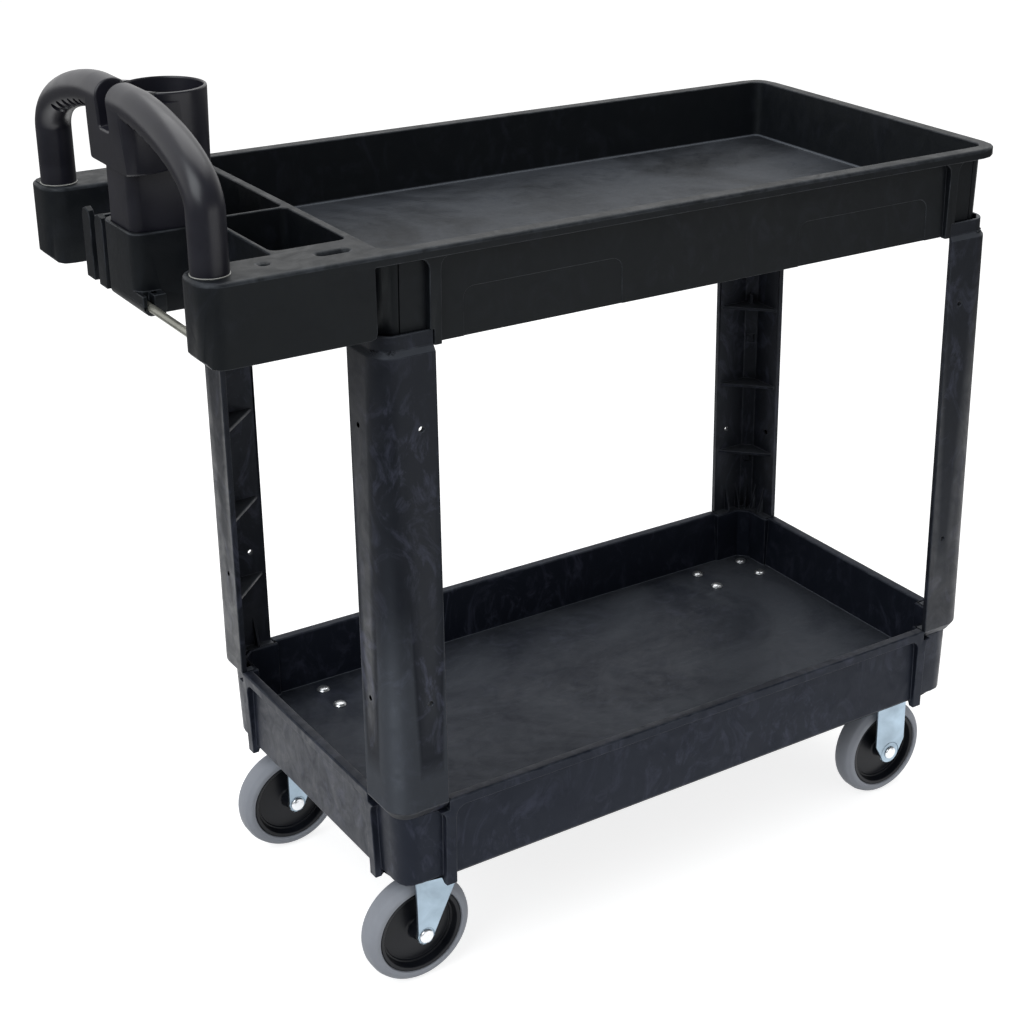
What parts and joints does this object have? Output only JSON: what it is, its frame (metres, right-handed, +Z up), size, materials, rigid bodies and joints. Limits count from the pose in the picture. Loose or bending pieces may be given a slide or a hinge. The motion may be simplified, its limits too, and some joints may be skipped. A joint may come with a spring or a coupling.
{
  "type": "rolling utility cart",
  "caption": "Moulded service cart with deep top and bottom trays on corner legs, an arched push handle with a cup holder, storage bins, a hanging rod, and swivel and rigid casters.",
  "frame": {"origin": "centre of the cart's outline on the floor, midway between the horn tips and the far lip", "axes": "+Z up, +X along the cart away from the handle, +Y to the left side seen by the person pushing"},
  "size_m": [0.984, 0.454, 1.002],
  "materials": {
    "structural_foam": "dark grey-black structural foam moulding with faint swirl marks and a low sheen",
    "handle_plastic": "smooth dark bluish grey plastic, satin",
    "rod_metal": "dull yellowish plated steel",
    "zinc_steel": "bright bluish zinc plating",
    "wheel_plastic": "black moulded plastic, satin",
    "tread_rubber": "mid-grey thermoplastic rubber, matt"
  },
  "bodies": {
    "frame": {"top_shelf": "structural_foam", "bottom_shelf": "structural_foam", "handle": "handle_plastic", "hanger_rod": "rod_metal", "leg_rear_right": "structural_foam", "leg_rear_left": "structural_foam", "leg_front_right": "structural_foam", "leg_front_left": "structural_foam", "swivel_rear_right_plate": "zinc_steel", "swivel_rear_right_ball_race": "zinc_steel", "swivel_rear_right_king_pin": "zinc_steel", "swivel_rear_left_plate": "zinc_steel", "swivel_rear_left_ball_race": "zinc_steel", "swivel_rear_left_king_pin": "zinc_steel", "rigid_front_right_bracket": "zinc_steel", "rigid_front_right_axle_bolt": "zinc_steel", "rigid_front_right_axle_nut": "zinc_steel", "rigid_front_right_sleeve": "zinc_steel", "rigid_front_left_bracket": "zinc_steel", "rigid_front_left_axle_bolt": "zinc_steel", "rigid_front_left_axle_nut": "zinc_steel", "rigid_front_left_sleeve": "zinc_steel", "bolt_rear_right_1": "zinc_steel", "bolt_rear_right_2": "zinc_steel", "bolt_rear_right_3": "zinc_steel", "bolt_rear_right_4": "zinc_steel", "bolt_rear_left_1": "zinc_steel", "bolt_rear_left_2": "zinc_steel", "bolt_rear_left_3": "zinc_steel", "bolt_rear_left_4": "zinc_steel", "bolt_front_right_1": "zinc_steel", "bolt_front_right_2": "zinc_steel", "bolt_front_right_3": "zinc_steel", "bolt_front_right_4": "zinc_steel", "bolt_front_left_1": "zinc_steel", "bolt_front_left_2": "zinc_steel", "bolt_front_left_3": "zinc_steel", "bolt_front_left_4": "zinc_steel"},
    "swivel_rear_right": {"swivel_rear_right_fork": "zinc_steel", "swivel_rear_right_axle_bolt": "zinc_steel", "swivel_rear_right_axle_nut": "zinc_steel", "swivel_rear_right_sleeve": "zinc_steel"},
    "wheel_rear_right": {"swivel_rear_right_wheel_core": "wheel_plastic", "swivel_rear_right_tyre": "tread_rubber"},
    "swivel_rear_left": {"swivel_rear_left_fork": "zinc_steel", "swivel_rear_left_axle_bolt": "zinc_steel", "swivel_rear_left_axle_nut": "zinc_steel", "swivel_rear_left_sleeve": "zinc_steel"},
    "wheel_rear_left": {"swivel_rear_left_wheel_core": "wheel_plastic", "swivel_rear_left_tyre": "tread_rubber"},
    "wheel_front_right": {"rigid_front_right_wheel_core": "wheel_plastic", "rigid_front_right_tyre": "tread_rubber"},
    "wheel_front_left": {"rigid_front_left_wheel_core": "wheel_plastic", "rigid_front_left_tyre": "tread_rubber"}
  },
  "joints": [
    {"name": "swivel_rear_right_turn", "type": "hinge", "parent": "frame", "child": "swivel_rear_right", "pos_m": [-0.245, -0.1605, 0.1535], "axis": [0, 0, 1], "continuous": true},
    {"name": "wheel_rear_right_spin", "type": "hinge", "parent": "swivel_rear_right", "child": "wheel_rear_right", "pos_m": [-0.272, -0.1605, 0.0635], "axis": [0, 1, 0], "continuous": true},
    {"name": "swivel_rear_left_turn", "type": "hinge", "parent": "frame", "child": "swivel_rear_left", "pos_m": [-0.245, 0.1605, 0.1535], "axis": [0, 0, 1], "continuous": true},
    {"name": "wheel_rear_left_spin", "type": "hinge", "parent": "swivel_rear_left", "child": "wheel_rear_left", "pos_m": [-0.272, 0.1605, 0.0635], "axis": [0, 1, 0], "continuous": true},
    {"name": "wheel_front_right_spin", "type": "hinge", "parent": "frame", "child": "wheel_front_right", "pos_m": [0.41, -0.1605, 0.0635], "axis": [0, 1, 0], "continuous": true},
    {"name": "wheel_front_left_spin", "type": "hinge", "parent": "frame", "child": "wheel_front_left", "pos_m": [0.41, 0.1605, 0.0635], "axis": [0, 1, 0], "continuous": true}
  ]
}
